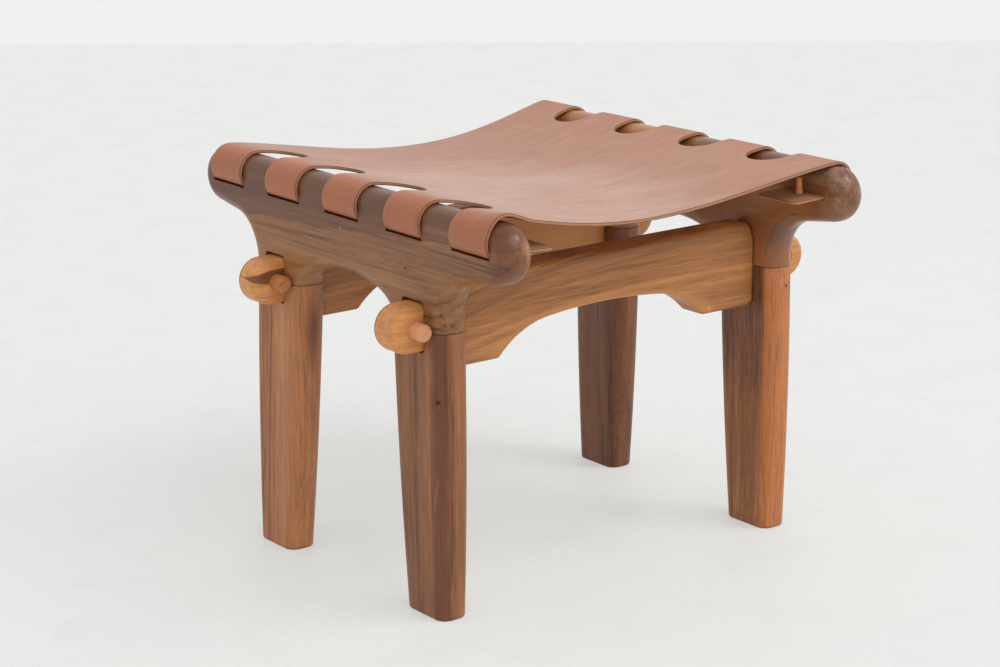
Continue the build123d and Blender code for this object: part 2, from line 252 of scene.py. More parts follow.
class Finish(Nodes):
    """One material."""

    def __init__(self, name):
        self.material = bpy.data.materials.new(name)
        self.material.use_nodes = True
        super().__init__(self.material.node_tree)
        self.shader = self.tree.nodes["Principled BSDF"]

    def millimetres(self, vector):
        return self.add(
            "ShaderNodeVectorMath", {"operation": "SCALE"}, {"Vector": vector, "Scale": 1 / MM})

    def place(self):
        """Object coordinates in millimetres."""
        return self.millimetres(self.add("ShaderNodeTexCoord", {}, {}, "Object"))

    def mix(self, factor, first, second):
        return self.add("ShaderNodeMix", {"data_type": "RGBA"}, {0: factor, 6: first, 7: second}, 2)

    def ramp(self, value, *stops):
        color = self.add("ShaderNodeValToRGB", {}, [value])
        elements = color.socket.node.color_ramp.elements
        while len(elements) < len(stops):
            elements.new(0.5)
        for element, stop in zip(elements, stops):
            element.position, element.color = stop
        return color

    def bump(self, height, distance, strength):
        normal = self.add(
            "ShaderNodeBump", {}, {"Height": height, "Distance": distance, "Strength": strength})
        self.put(self.shader.inputs["Normal"], normal)

    def set(self, **inputs):
        for key, value in inputs.items():
            self.put(self.shader.inputs[key.replace("_", " ")], value)
        return self.material

    def glow(self, color, share):
        """Let a share of the surface show its plain colour to the camera, also in a reflection."""
        kinds = ("Is Camera Ray", "Is Glossy Ray", "Is Transmission Ray")
        camera, glossy, through = [self.add("ShaderNodeLightPath", {}, {}, kind) for kind in kinds]
        plain = self.add("ShaderNodeEmission", {}, {"Color": color, "Strength": 1.0})
        lit = Sock(self, self.shader.outputs["BSDF"])
        seen = (camera + glossy + through) * share
        shown = self.add("ShaderNodeMixShader", {}, {0: seen, 1: lit, 2: plain})
        self.put(self.tree.nodes["Material Output"].inputs["Surface"], shown)


# Marks on the wood: the middle of each and its half sizes.
RAIL_KNOT = ((229, -107, 339), (8, 4.5, 2.6))
RAIL_CHIP = ((229, 2, 358), (8, 0.9, 4))
# The left nose mark is partly a painted highlight.
LEFT_NOSE_WEAR_AND_GLINT = ((-202, -254, 380), (15, 14, 16))
# The right nose mark is partly a painted highlight.
RIGHT_NOSE_WEAR_AND_GLINT = ((231, -246, 369), (15, 17, 22))
FRONT_LEFT_KNOT = ((-227, -154, 219), (5, 5, 5))
FRONT_LEFT_CRACK = ((-228, -151, 128), (8, 12, 24))
BACK_LEFT_STREAK = ((-212, 78, 235), (13, 16, 60))
FRONT_RIGHT_KNOT = ((214, -160, 264), (2.6, 6, 3))
FRONT_RIGHT_SCUFF = ((205, -158, 276), (26, 20, 16))
FRONT_BOARD_CHIP = ((130, -136, 248), (5, 8, 4))
BACK_BOARD_KNOTS = (((70, 101, 322), (5, 6, 2.6)), ((170, 101, 300), (5, 6, 2.6)))

# Lines of the wood patterns.
RAIL_BAND_Z = 359
RAIL_BAND_SLOPE = 0.085
TONGUE_Y = 118.5
TONGUE_SHADE_LINE = 11.4
BOARD_BAND_Z = 287
BOARD_BEND_X = 47
ARCH_MIDDLE = (-8.5, 242)
ARCH_HALF = (131, 36)
LEAF_Z = 291.5
LEAF_HALF = 7.4
KNOT_REACH = 4


class Walnut(Finish):
    """Oiled walnut: growth rings round a heart that lies beside the piece, fibres and open pores."""

    def __init__(
            self, name, finish, grain, heart, tones,
            ring=9.0, drift=0.05, sway=16.0, stretch=1.0, seed=0.0):
        """The fibres follow the axis named by grain, and heart is the middle of the tree across it."""
        super().__init__(name)
        self.finish = finish
        self.x, self.y, self.z = self.place().parts()
        order = {
            "X": (self.x, self.y, self.z), "Y": (self.y, self.z, self.x), "Z": (self.z, self.x, self.y)}
        along, self.across, self.deep = order[grain]
        self.far = along / stretch + seed * 97.0
        self.seed = seed
        self.tones = tones
        self.knots = []
        slow = self.strands(0.0045, 0.008, 2)
        tilt = self.noise(self.vector(self.far * 0.011, seed, self.deep * 0.01), 1)
        across = self.across - heart[0] + along * drift + (slow - 0.5) * sway * 2
        deep = self.deep - heart[1] + (tilt - 0.5) * sway
        self.rings = ((across * across + deep * deep) ** 0.5) / ring

    def strands(self, along, across, detail, roughness=0.5):
        """Noise drawn out along the grain. It changes this often per millimetre along and across it."""
        place = self.vector(self.far * along, self.across * across, self.deep * across)
        return self.noise(place, detail, roughness)

    def patches(self, x, y, z, detail, roughness=0.5):
        """Noise that changes this often per millimetre along each axis of the stool."""
        return self.noise(self.vector(self.x * x, self.y * y, self.z * z), detail, roughness)

    def frayed(self, place, width):
        """A place that wanders by this width from fibre to fibre, for a ragged border."""
        return place + (self.fibre - 0.5) * width

    def blob(self, mark, side=1):
        """1 at the middle of a mark and 0 outside its oval. A side of -1 mirrors it to the left."""
        (x, y, z), (long, wide, high) = mark
        across = ((self.x - x * side) / long) ** 2.0
        total = across + ((self.y - y) / wide) ** 2.0 + ((self.z - z) / high) ** 2.0
        return (total ** 0.5).below(0.0, 1.0)

    def knot(self, mark, side=1):
        """A small knot: the rings close round it, and its heart is dark."""
        middle, size = mark
        around = self.blob((middle, [half * KNOT_REACH for half in size]), side)
        self.rings = self.rings + around * 1.5
        self.knots.append(self.blob(mark, side))

    def figure(self, light_from=0.62, lines=0.8, spread=1.0, streaks=1.0, open_pores=0.6):
        """Colour from the rings, streaks, fibres and pores, each with its weight."""
        ring_place = self.vector(self.rings, self.far * 0.0016, self.seed)
        band = self.noise(ring_place, 6, 0.62, 0.7)
        cloud = self.strands(0.012, 0.05, 3)
        streak = self.strands(0.008, 0.22, 5, 0.62)
        self.fibre = self.strands(0.03, 0.9, 5, 0.7)
        self.fine = self.strands(0.06, 2.4, 2)
        self.pores = self.strands(0.14, 1.4, 1).step(0.58, 0.68)
        tone = (band - 0.5) * 1.8 * spread + (cloud - 0.5) * 0.7
        tone = tone + (streak - 0.5) * streaks + (self.fibre - 0.5) * lines + 0.5
        dark, middle, light = self.tones
        self.color = self.ramp(
            tone, (0.08, dark), (0.42, middle), (light_from - 0.1, middle), (light_from + 0.26, light))
        self.tint(self.fine.step(0.42, 0.78) * 0.42, dark)
        self.tint(self.pores * open_pores, dark)

    def tint(self, mask, color):
        self.color = self.mix(mask, self.color, color)

    def seal(self, roughness=0.42, coat=0.16):
        """Finish the surface: hearts of the knots, feet darker along their bottom few millimetres, and oil
        that leaves the pores open.
        """
        dark = self.tones[0]
        for knot in self.knots:
            self.tint(knot.step(0.05, 0.4) * 0.45, dark)
            self.tint(knot.step(0.45, 0.75) * 0.85, self.finish.dirt_and_shade)
        self.tint(self.frayed(self.z, 3).below(0.5, 3.5) * 0.6, dark)
        self.bump(self.fibre * 0.5 + self.fine * 0.25 - self.pores * 0.6, 0.14 * MM, 0.6)
        return self.set(
            Base_Color=self.color, Roughness=roughness + (self.fine - 0.5) * 0.16 + self.pores * 0.15,
            Coat_Weight=coat, Coat_Roughness=0.16, Specular_IOR_Level=0.28)


def rail_wood(name, finish, side, seed, heart_end=400):
    """Rail with a darker band of heartwood under the leather, which slopes and stops at heart_end."""
    dark, _, light = tones = finish.rail_dark, finish.rail_middle, finish.rail_light
    wood = Walnut(name, finish, "Y", (330 * side, 150), tones, ring=8, drift=0.03, stretch=3.2, seed=seed)
    wood.knot(RAIL_KNOT, side)
    wood.figure(0.62, 0.9, 0.9, 1.5, 0.5)
    wander = wood.patches(0.02, 0.012, 0.02, 3) - 0.5
    above = wood.z + wood.y * RAIL_BAND_SLOPE + wander * 18 - RAIL_BAND_Z
    heart = above.step(-3, 3) * 0.6 + above.step(7, 21) * 0.25
    heart = heart * (wood.y + wander * 60).below(heart_end - 50, heart_end + 50)
    wood.tint(heart, wood.mix(wood.fibre.step(0.3, 0.75), finish.rail_heart, dark))
    smoke = wood.patches(0.03, 0.005, 0.06, 4, 0.6)
    wood.tint(smoke.step(0.5, 0.68) * 0.25, dark)
    gold = wood.noise(wood.vector(wood.x * 0.02 + 7.3, wood.y * 0.005, wood.z * 0.04))
    wood.tint(gold.step(0.5, 0.68) * (1 - heart) * 0.45, light)
    wood.tint(abs(above).below(0.4, 2.2) * 0.45, dark)
    wood.tint(wood.blob(RAIL_CHIP, side) * 0.8, finish.tongue)
    return wood


def left_rail(finish):
    """Lighter at its back neck, with a dark front nose that is rubbed on one side; that light spot is also
    a painted highlight.
    """
    wood = rail_wood("walnut_left_rail", finish, -1, 1)
    back_neck = wood.y.step(60, 120) * wood.z.below(296, 345)
    wood.tint(back_neck * 0.4, finish.leg_light)
    wood.tint(wood.frayed(wood.y, 10).below(-238, -226) * 0.55, finish.rail_heart)
    # Light speckled spot low on the right of the nose: rubbed wood and a painted highlight.
    rubbed = wood.blob(LEFT_NOSE_WEAR_AND_GLINT).step(0.1, 1) * wood.fibre.step(0.2, 0.6)
    wood.tint(rubbed * 0.5, finish.peg)
    return wood.seal(0.34, 0.24)


def right_rail(finish):
    """Orange along the top at the back, with dark reddish necks and a worn front nose; the grey of its top
    and the copper spot at its tip are partly painted sheen and highlight.
    """
    wood = rail_wood("walnut_right_rail", finish, 1, 2.3, -30)
    wood.tint(wood.frayed(wood.z, 14).below(328, 356) * 0.52, finish.rail_dark)
    wood.tint(wood.frayed(wood.z, 10).below(292, 322) * 0.3, finish.leg_orange)
    top = wood.z.step(350, 364) * wood.frayed(wood.y, 60).step(-90, 40)
    wood.tint(top * 0.5, finish.leg_light)
    # Painted light on the shaded inner face of the right rail, under the leather.
    wood.tint(wood.x.below(191.3, 193) * 0.4, finish.leg_light)
    ends = abs(wood.y).step(200, 222)
    wood.tint(ends * 0.5, finish.rail_heart)
    worn = wood.patches(0.06, 0.02, 0.06, 5, 0.7)
    # Grey-brown on the top of the nose: worn wood and a painted sheen.
    wood.tint(ends * worn.step(0.42, 0.62) * wood.z.step(350, 376) * 0.32, finish.worn)
    # Copper spot at the right of the nose tip: a painted highlight on rubbed wood.
    wood.tint(wood.blob(RIGHT_NOSE_WEAR_AND_GLINT).step(0.1, 0.9) * worn.step(0.3, 0.6) * 0.6, finish.peg)
    return wood.seal(0.34, 0.32)


def leg_wood(name, finish, seed, heart):
    tones = finish.leg_dark, finish.leg_middle, finish.leg_light
    return Walnut(name, finish, "Z", heart, tones, stretch=1.6, seed=seed)


def seal_leg(wood, roughness=0.42):
    """Finish a leg, with the dark line of its joint."""
    wood.tint((wood.z - leg_high.z / MM).step(-1.3, -0.5) * 0.7, wood.finish.dirt_and_shade)
    return wood.seal(roughness)


def leg_front_left(finish):
    """A purple-brown streak with a small knot and a crack runs down its corner."""
    wood = leg_wood("walnut_front_left", finish, 0.4, (-260, -40))
    wood.knot(FRONT_LEFT_KNOT)
    wood.figure(0.6, 0.7, 0.9, 1.1, 0.3)
    sway = (wood.noise(wood.vector(0.3, wood.z * 0.012, 0), 2) - 0.5) * 10
    off_corner = (((wood.x + 229 + sway) / 15) ** 2 + ((wood.y + 156 + sway) / 17) ** 2) ** 0.5
    wood.tint(wood.frayed(off_corner, 0.7).below(0.3, 1.15) * 0.75, finish.rail_heart)
    front = wood.y.below(-157, -146)
    wood.tint(wood.frayed(wood.x + 213, 12).step(-5, 5) * front * 0.35, finish.leg_light)
    _, crack_y, crack_z = FRONT_LEFT_CRACK[0]
    off_crack = abs(wood.frayed(wood.y - crack_y + (wood.z - crack_z) * 0.2, 4))
    crack = off_crack.below(0.3, 2.2) * wood.blob(FRONT_LEFT_CRACK).step(0, 0.6)
    wood.tint(crack * 0.3, finish.leg_light)
    wood.tint(0.12, finish.leg_dark)
    return seal_leg(wood)


def leg_back_left(finish):
    """Orange-brown with fine upright lines, one dark crack line and a grey streak inside."""
    wood = leg_wood("walnut_back_left", finish, 3.1, (-300, 60))
    wood.figure(0.52, 0.8, 0.8, 1.1, 0.2)
    wood.tint(wood.fibre.step(0.35, 0.65) * 0.5, finish.leg_orange)
    wood.tint(wood.y.below(116, 124) * 0.2, finish.peg)
    off_crack = abs(wood.frayed(wood.y - 139 + wood.z * 0.05, 3))
    wood.tint(off_crack.below(0.3, 1.5) * 0.8, finish.leg_dark)
    wood.tint(wood.blob(BACK_LEFT_STREAK) * 0.8, finish.rail_heart)
    return seal_leg(wood)


def leg_front_right(finish):
    """Orange on the front and dark brown on the inside, with a small knot below the joint. The orange is
    brightened as painted light on the lit front, and the inside is darkened as painted shade.
    """
    wood = leg_wood("walnut_front_right", finish, 5.2, (330, -60))
    wood.knot(FRONT_RIGHT_KNOT)
    wood.figure(0.52, 1.4, 1, 1.3)
    # Orange front face: the wood's orange, brightened as painted light on the lit face.
    front = wood.frayed(wood.y, 8).below(-154, -145)
    wood.tint(front * wood.fibre.step(0.3, 0.6) * 0.85, finish.leg_orange)
    # Darker inner face, most of all high up: painted shade.
    inside = wood.x.below(192, 199) * (1 - front)
    high = wood.frayed(wood.z, 60).step(70, 230)
    wood.tint(inside * wood.fibre.below(0.42, 0.62) * (high * 0.5 + 0.3), finish.leg_dark)
    wood.tint(inside * (1 - high) * 0.35, finish.leg_middle)
    wood.tint(inside * high * 0.3, finish.rail_dark)
    scuff = wood.patches(0.5, 0.5, 0.16, 4, 0.7).step(0.5, 0.62)
    wood.tint(scuff * wood.blob(FRONT_RIGHT_SCUFF) * 0.5, finish.peg)
    return seal_leg(wood, 0.4)


def leg_back_right(finish):
    wood = leg_wood("walnut_back_right", finish, 7.7, (260, 40))
    wood.figure(0.7, 0.9)
    wood.tint(0.42, finish.leg_dark)
    return seal_leg(wood)


def board_tones(finish):
    return finish.board_dark, finish.board_middle, finish.board_light


def light_ends(wood, middle):
    """The tongues are of lighter wood; painted shade darkens a line where their far edge is rounded over,
    and the gap at each shoulder.
    """
    dark, brown, light = wood.tones
    far = abs(wood.x)
    end = wood.frayed(far, 8).step(188, 198)
    stripes = wood.patches(0.02, 0.12, 0.3, 4, 0.6)
    wood.tint(end * 0.85, wood.mix(stripes.step(0.36, 0.62), light, wood.finish.tongue))
    wood.tint(wood.fine.step(0.5, 0.7) * end * 0.35, brown)
    wood.tint(stripes.step(0.56, 0.7) * end * 0.3, brown)
    # Painted shade: a dark line where the rounded far edge of the tongue turns away.
    rim_shade = abs(wood.y - middle - TONGUE_SHADE_LINE).below(0.6, 2.2)
    wood.tint(rim_shade * far.step(232, 238) * 0.7, dark)
    # Painted shadow in the gap where the board meets the leg.
    gap = far.step(188.4, 190.4) * far.below(191, 191.1)
    wood.tint(gap * 0.85, wood.finish.dirt_and_shade)


def stretcher_front(finish):
    """Its bands rise from the low left along the arch and run level to the right shoulder."""
    dark, brown, light = tones = board_tones(finish)
    wood = Walnut("walnut_front", finish, "X", (-240, 380), tones, stretch=3.6, seed=1.7)
    left = (BOARD_BEND_X - wood.x).at_least(0)
    level = wood.z + left * left * 0.0005 - BOARD_BAND_Z
    wave = wood.patches(0.009, 0.01, 0.035, 3) - 0.5
    wood.rings = (level + wave * 26 + wood.y * 0.3) / 10
    wood.figure(0.6, 1, 0.7, 0.7, 0.5)
    veins = wood.noise(wood.vector(wood.x * 0.007, wood.y * 0.05, level * 0.2), 5, 0.6)
    wood.tint(veins.step(0.48, 0.66) * (level.step(12, 34) * 0.42 + 0.24), dark)
    wood.tint(0.1, light)
    wood.tint(abs(level + wave * 5).below(0.5, 4) * 0.5, light)
    across = (wood.x - ARCH_MIDDLE[0]) / ARCH_HALF[0]
    up = (wood.z - ARCH_MIDDLE[1]) / ARCH_HALF[1]
    off_arch = abs((across ** 2 + up ** 2) ** 0.5 - 1)
    wood.tint(off_arch.below(0.03, 0.2) * 0.5, light)
    wood.tint(wood.blob(FRONT_BOARD_CHIP) * 0.6, finish.peg)
    light_ends(wood, -TONGUE_Y)
    wood.tint(wood.x.below(-200, -188) * 0.16, finish.leg_orange)
    wood.tint(wood.x.step(200, 210) * 0.35, brown)
    return wood.seal()


def stretcher_back(finish):
    """Lighter, with two small knots, and a leaf-shaped dark streak in its left tongue."""
    dark, _, light = tones = board_tones(finish)
    wood = Walnut(
        "walnut_back", finish, "X", (-20, 420), tones, ring=11, drift=0.06, sway=22, stretch=1.5, seed=4.6)
    for knot in BACK_BOARD_KNOTS:
        wood.knot(knot)
    wood.figure(0.52, 1, 0.8)
    wood.tint(wood.x.step(-90, 10) * 0.45 + 0.25, light)
    light_ends(wood, TONGUE_Y)
    wood.tint(wood.x.step(200, 210) * 0.6, dark)
    from_tip = wood.x - wood.y + 388
    leaf_half = (from_tip / 40).between(0.02, 1) * LEAF_HALF
    off_leaf = (abs(wood.z - LEAF_Z - from_tip * 0.03) / leaf_half).step(0.8, 1)
    leaf = 1 - off_leaf
    wood.tint(leaf * wood.x.below(-229, -222) * 0.85, finish.rail_heart)
    wood.tint(leaf * off_leaf.step(0, 0.5) * 0.9, dark)
    return wood.seal()


def peg_wood(name, finish, grain, color, dark, seed=0):
    wood = Walnut(name, finish, grain, (20, 9), (dark, color, color), ring=3, sway=3, seed=seed)
    wood.figure(0.6, 0.7, 0.8, 0.6, 0.3)
    return wood.seal(coat=0.12)


class Hide(Finish):
    """A side of the leather. Patterns follow the flat hide, in millimetres."""

    def __init__(self, name):
        super().__init__(name)
        flat = self.add("ShaderNodeUVMap", {"uv_map": "hide"})
        self.along, self.across, _ = self.millimetres(flat).parts()

    def pattern(self, along, across, detail=3, roughness=0.5):
        """Noise that changes this often per millimetre along the hide and across it."""
        return self.noise(self.vector(self.along * along, self.across * across, 0), detail, roughness)


def grain_side(sizes):
    """Dusty where it is sat on, with a painted sheen over the middle and left of the seat, darker and
    smoother where it is stretched over the bars.
    """
    hide = Hide("leather_grain")
    cloud = hide.pattern(0.009, 0.016, 4) - 0.5
    mottle = hide.pattern(0.05, 0.11, 4, 0.6)
    creases = hide.pattern(0.014, 0.2, 5, 0.62)
    strokes = hide.pattern(0.02, 0.7, 5, 0.68)
    pebble = hide.pattern(0.9, 0.9)
    pull = abs(hide.along)
    taut = 1 - pull.step(180, 215) * 0.86
    off_seat = (((hide.along + 60) / 230) ** 2 + ((hide.across + 90) / 260) ** 2) ** 0.5
    # Lighter dusty colour over the middle and left of the seat: dust and a painted sheen.
    rubbed = off_seat.below(0.3, 1.1) * 0.8 + cloud * 1.4 + (mottle - 0.5) * 0.5 + (strokes - 0.5) * 0.9
    rubbed = rubbed - hide.along.step(-60, 170) * 0.42
    color = hide.mix(
        rubbed.between(0, 1) * pull.below(185, 215), sizes.grain_color, sizes.dust_and_sheen_color)
    color = hide.mix(pull.step(180, 222), color, sizes.tab_color)
    color = hide.mix(creases.step(0.52, 0.68) * 0.4, color, sizes.crease_color)
    color = hide.mix(strokes.step(0.46, 0.66) * taut * 0.5, color, sizes.crease_color)
    scuffs = hide.pattern(0.03, 1.1, 3, 0.6).step(0.56, 0.7) * mottle.step(0.4, 0.6)
    color = hide.mix(scuffs * taut * 0.45, color, sizes.scuff_color)
    color = hide.mix(pebble.step(0.5, 0.75) * 0.16, color, sizes.crease_color)
    hide.bump(creases * 1.4 + mottle * 0.5 + strokes * taut * 0.3 + pebble * 0.16, 0.5 * MM, 0.5)
    return hide.set(
        Base_Color=color, Roughness=0.42 + (mottle - 0.5) * 0.2 + pebble * 0.08, Coat_Weight=0.1,
        Coat_Roughness=0.35, Specular_IOR_Level=0.4)


def flesh_side(sizes):
    """Raw back of the hide, darker towards the ends of the flaps."""
    hide = Hide("leather_flesh")
    cloud = hide.pattern(0.03, 0.03, 4)
    nap = hide.pattern(0.7, 1.1, 4, 0.7)
    color = hide.mix(cloud.step(0.35, 0.7), sizes.flesh_color, sizes.core_color)
    color = hide.mix(nap.step(0.45, 0.7) * 0.3, color, sizes.tab_color)
    darker_flap_ends = (abs(hide.along) + (cloud - 0.5) * 20).step(258, 290)
    color = hide.mix(darker_flap_ends * 0.22, color, sizes.edge_color)
    hide.bump(nap, 0.5 * MM, 0.6)
    return hide.set(Base_Color=color, Roughness=0.8)


def edge_side(name, color, dark):
    hide = Hide(name)
    fibre = hide.pattern(0.6, 0.6, 4, 0.7)
    tone = hide.mix(fibre.step(0.4, 0.7) * 0.4, color, dark)
    hide.bump(fibre, 0.3 * MM, 0.4)
    return hide.set(Base_Color=tone, Roughness=0.55)


# Sizes of the solids that the hide fits.
TAB_COUNT = 5
TAB_PITCH = 102.8 * MM
GAP_ROOT = 168.6 * MM
FLAP_REACH = 40.6 * MM
STRAP_HOLE_RADIUS = 4.9 * MM
STRAP_HOLE_INSET = 7.1 * MM
BAR_RADIUS = 17.9 * MM

# Numbers of its mesh and its hang.
SAME_POINT = 0.01 * MM
MERGE_DISTANCE = 1e-7
EDGE_LIFT_INSET = 3 * MM
EDGE_LIFT_REACH = 32 * MM
FOLDS_PER_METRE = (9.0, 42.0)


class HidePlan:
    """Flat cut of the hide: its length runs along X and its width along Y."""

    def __init__(self, sizes):
        self.sizes = sizes
        self.half_span = rail_low.x + BAR_RADIUS
        self.wrap_radius = sling_high.z - sizes.thickness / 2 - (rail_high.z - BAR_RADIUS)
        self.wrap_length = self.wrap_radius * (math.pi / 2 + sizes.turn)
        self.turn_length = sizes.turn_radius * (math.pi / 2 - sizes.turn)
        turn_x = self.half_span + (self.wrap_radius - sizes.turn_radius) * math.cos(sizes.turn)
        self.flap_length = turn_x - (rail_low.x - FLAP_REACH)
        self.half_length = self.half_span + self.wrap_length + self.turn_length + self.flap_length
        self.half_width = sling_high.y
        self.tabs = [TAB_PITCH * (number - (TAB_COUNT - 1) / 2) for number in range(TAB_COUNT)]
        self.gap_radius = (TAB_PITCH - sizes.tab_width) / 2
        self.gap_centre = GAP_ROOT + self.gap_radius
        self.hole_place = self.half_length - FLAP_REACH + STRAP_HOLE_INSET

    def arc(self, centre, radius, start, sweep):
        steps = max(4, round(abs(sweep) * radius / (self.sizes.cell * 0.35)))
        angles = [start + sweep * number / steps for number in range(steps + 1)]
        return [(centre[0] + radius * math.cos(a), centre[1] + radius * math.sin(a)) for a in angles]

    def end_edge(self):
        """Cut edge of the right-hand end, from the front to the back."""
        corner = self.sizes.flap_corner
        tip = self.half_length - corner
        points = []
        for number, tab in enumerate(self.tabs):
            low = tab - self.sizes.tab_width / 2
            high = tab + self.sizes.tab_width / 2
            points += self.arc((tip, low + corner), corner, -math.pi / 2, math.pi / 2)
            points += self.arc((tip, high - corner), corner, 0, math.pi / 2)
            if number < TAB_COUNT - 1:
                middle = high + self.gap_radius
                points += self.arc((self.gap_centre, middle), self.gap_radius, -math.pi / 2, -math.pi)
        return points

    def outline(self):
        right = self.end_edge()
        left = [(-x, y) for x, y in reversed(right)]
        return self.divide(right + left)

    def divide(self, points):
        """Points along a closed line, no further apart than a mesh cell."""
        result = []
        for (x0, y0), (x1, y1) in zip(points, points[1:] + points[:1]):
            gap = math.hypot(x1 - x0, y1 - y0)
            if gap < SAME_POINT:
                continue
            steps = max(1, math.ceil(gap / self.sizes.cell))
            result += [(x0 + (x1 - x0) * n / steps, y0 + (y1 - y0) * n / steps) for n in range(steps)]
        return result

    def holes(self):
        turn = 2 * math.pi
        places = [(side * self.hole_place, tab) for side in (-1, 1) for tab in self.tabs]
        return [self.arc(place, STRAP_HOLE_RADIUS, 0, turn)[:-1] for place in places]

    def inside(self, x, y, margin=0.0):
        """Whether a point lies in the leather, at least a margin from its edge."""
        x = abs(x)
        if x > self.half_length - margin or abs(y) > self.half_width - margin:
            return False
        tab = min(self.tabs, key=lambda place: abs(place - y))
        off = abs(y - tab)
        if math.hypot(x - self.hole_place, off) < STRAP_HOLE_RADIUS + margin:
            return False
        half = self.sizes.tab_width / 2
        if x > self.gap_centre and off > half - margin:
            return False
        to_gap = TAB_PITCH / 2 - off
        if x <= self.gap_centre and abs(y) < self.tabs[-1] + half:
            if math.hypot(x - self.gap_centre, to_gap) < self.gap_radius + margin:
                return False
        corner = self.sizes.flap_corner
        over_x = x - (self.half_length - corner)
        over_y = off - (half - corner)
        return not (over_x > 0 and over_y > 0 and math.hypot(over_x, over_y) > corner - margin)

    def fill(self):
        """Points in even rows over the leather, clear of its edges."""
        cell = self.sizes.cell
        row_height = cell * math.sqrt(3) / 2
        rows = math.ceil(self.half_width / row_height)
        columns = math.ceil(self.half_length / cell)
        points = []
        for row in range(-rows, rows + 1):
            for column in range(-columns, columns + 1):
                x = (column + row % 2 / 2) * cell
                y = row * row_height
                if self.inside(x, y, cell / 2):
                    points.append(Vector((x, y)))
        return points

    def mesh(self):
        """Flat triangles of the whole hide, with their place in it as a UV map."""
        points = []
        edges = []
        for loop in (self.outline(), *self.holes()):
            start = len(points)
            points += [Vector(point) for point in loop]
            edges += [(start + n, start + (n + 1) % len(loop)) for n in range(len(loop))]
        points += self.fill()
        found, _, faces, *_ = delaunay_2d_cdt(points, edges, [], 0, MERGE_DISTANCE)
        kept = []
        for face in faces:
            middle = sum((found[index] for index in face), Vector((0, 0))) / 3
            if self.inside(middle.x, middle.y):
                kept.append(face)
        mesh = bpy.data.meshes.new("hide")
        mesh.from_pydata([(point.x, point.y, 0) for point in found], [], kept)
        mesh.polygons.foreach_set("use_smooth", [True] * len(mesh.polygons))
        flat = mesh.uv_layers.new(name="hide")
        for loop in mesh.loops:
            flat.data[loop.index].uv = mesh.vertices[loop.vertex_index].co.xy
        bm = bmesh.new()
        bm.from_mesh(mesh)
        loose = [vertex for vertex in bm.verts if not vertex.link_faces]
        bmesh.ops.delete(bm, geom=loose, context="VERTS")
        bmesh.ops.recalc_face_normals(bm, faces=bm.faces)
        if sum(face.normal.z for face in bm.faces) < 0:
            bmesh.ops.reverse_faces(bm, faces=bm.faces)
        self.area = sum(face.calc_area() for face in bm.faces)
        bm.to_mesh(mesh)
        bm.free()
        return mesh


class Rule(Nodes):
    """A Geometry Nodes tree with named inputs."""

    def __init__(self, name):
        super().__init__(bpy.data.node_groups.new(name, "GeometryNodeTree"))
        for direction in ("INPUT", "OUTPUT"):
            self.tree.interface.new_socket(
                name="Geometry", in_out=direction, socket_type="NodeSocketGeometry")
        self.start = self.tree.nodes.new("NodeGroupInput")
        self.values = {}

    def input(self, name, value):
        socket = self.tree.interface.new_socket(name=name, in_out="INPUT", socket_type="NodeSocketFloat")
        self.values[socket.identifier] = value
        return Sock(self, self.start.outputs[name])

    def finish(self, geometry, material):
        """End the tree in Realize Instances and Set Material."""
        geometry = self.add("GeometryNodeRealizeInstances", {}, {"Geometry": geometry})
        geometry = self.add("GeometryNodeSetMaterial", {}, {"Geometry": geometry, "Material": material})
        end = self.tree.nodes.new("NodeGroupOutput")
        self.tree.links.new(geometry.socket, end.inputs["Geometry"])

    def apply_to(self, piece):
        modifier = piece.modifiers.new(self.tree.name, "NODES")
        modifier.node_group = self.tree
        for identifier, value in self.values.items():
            modifier[identifier] = value


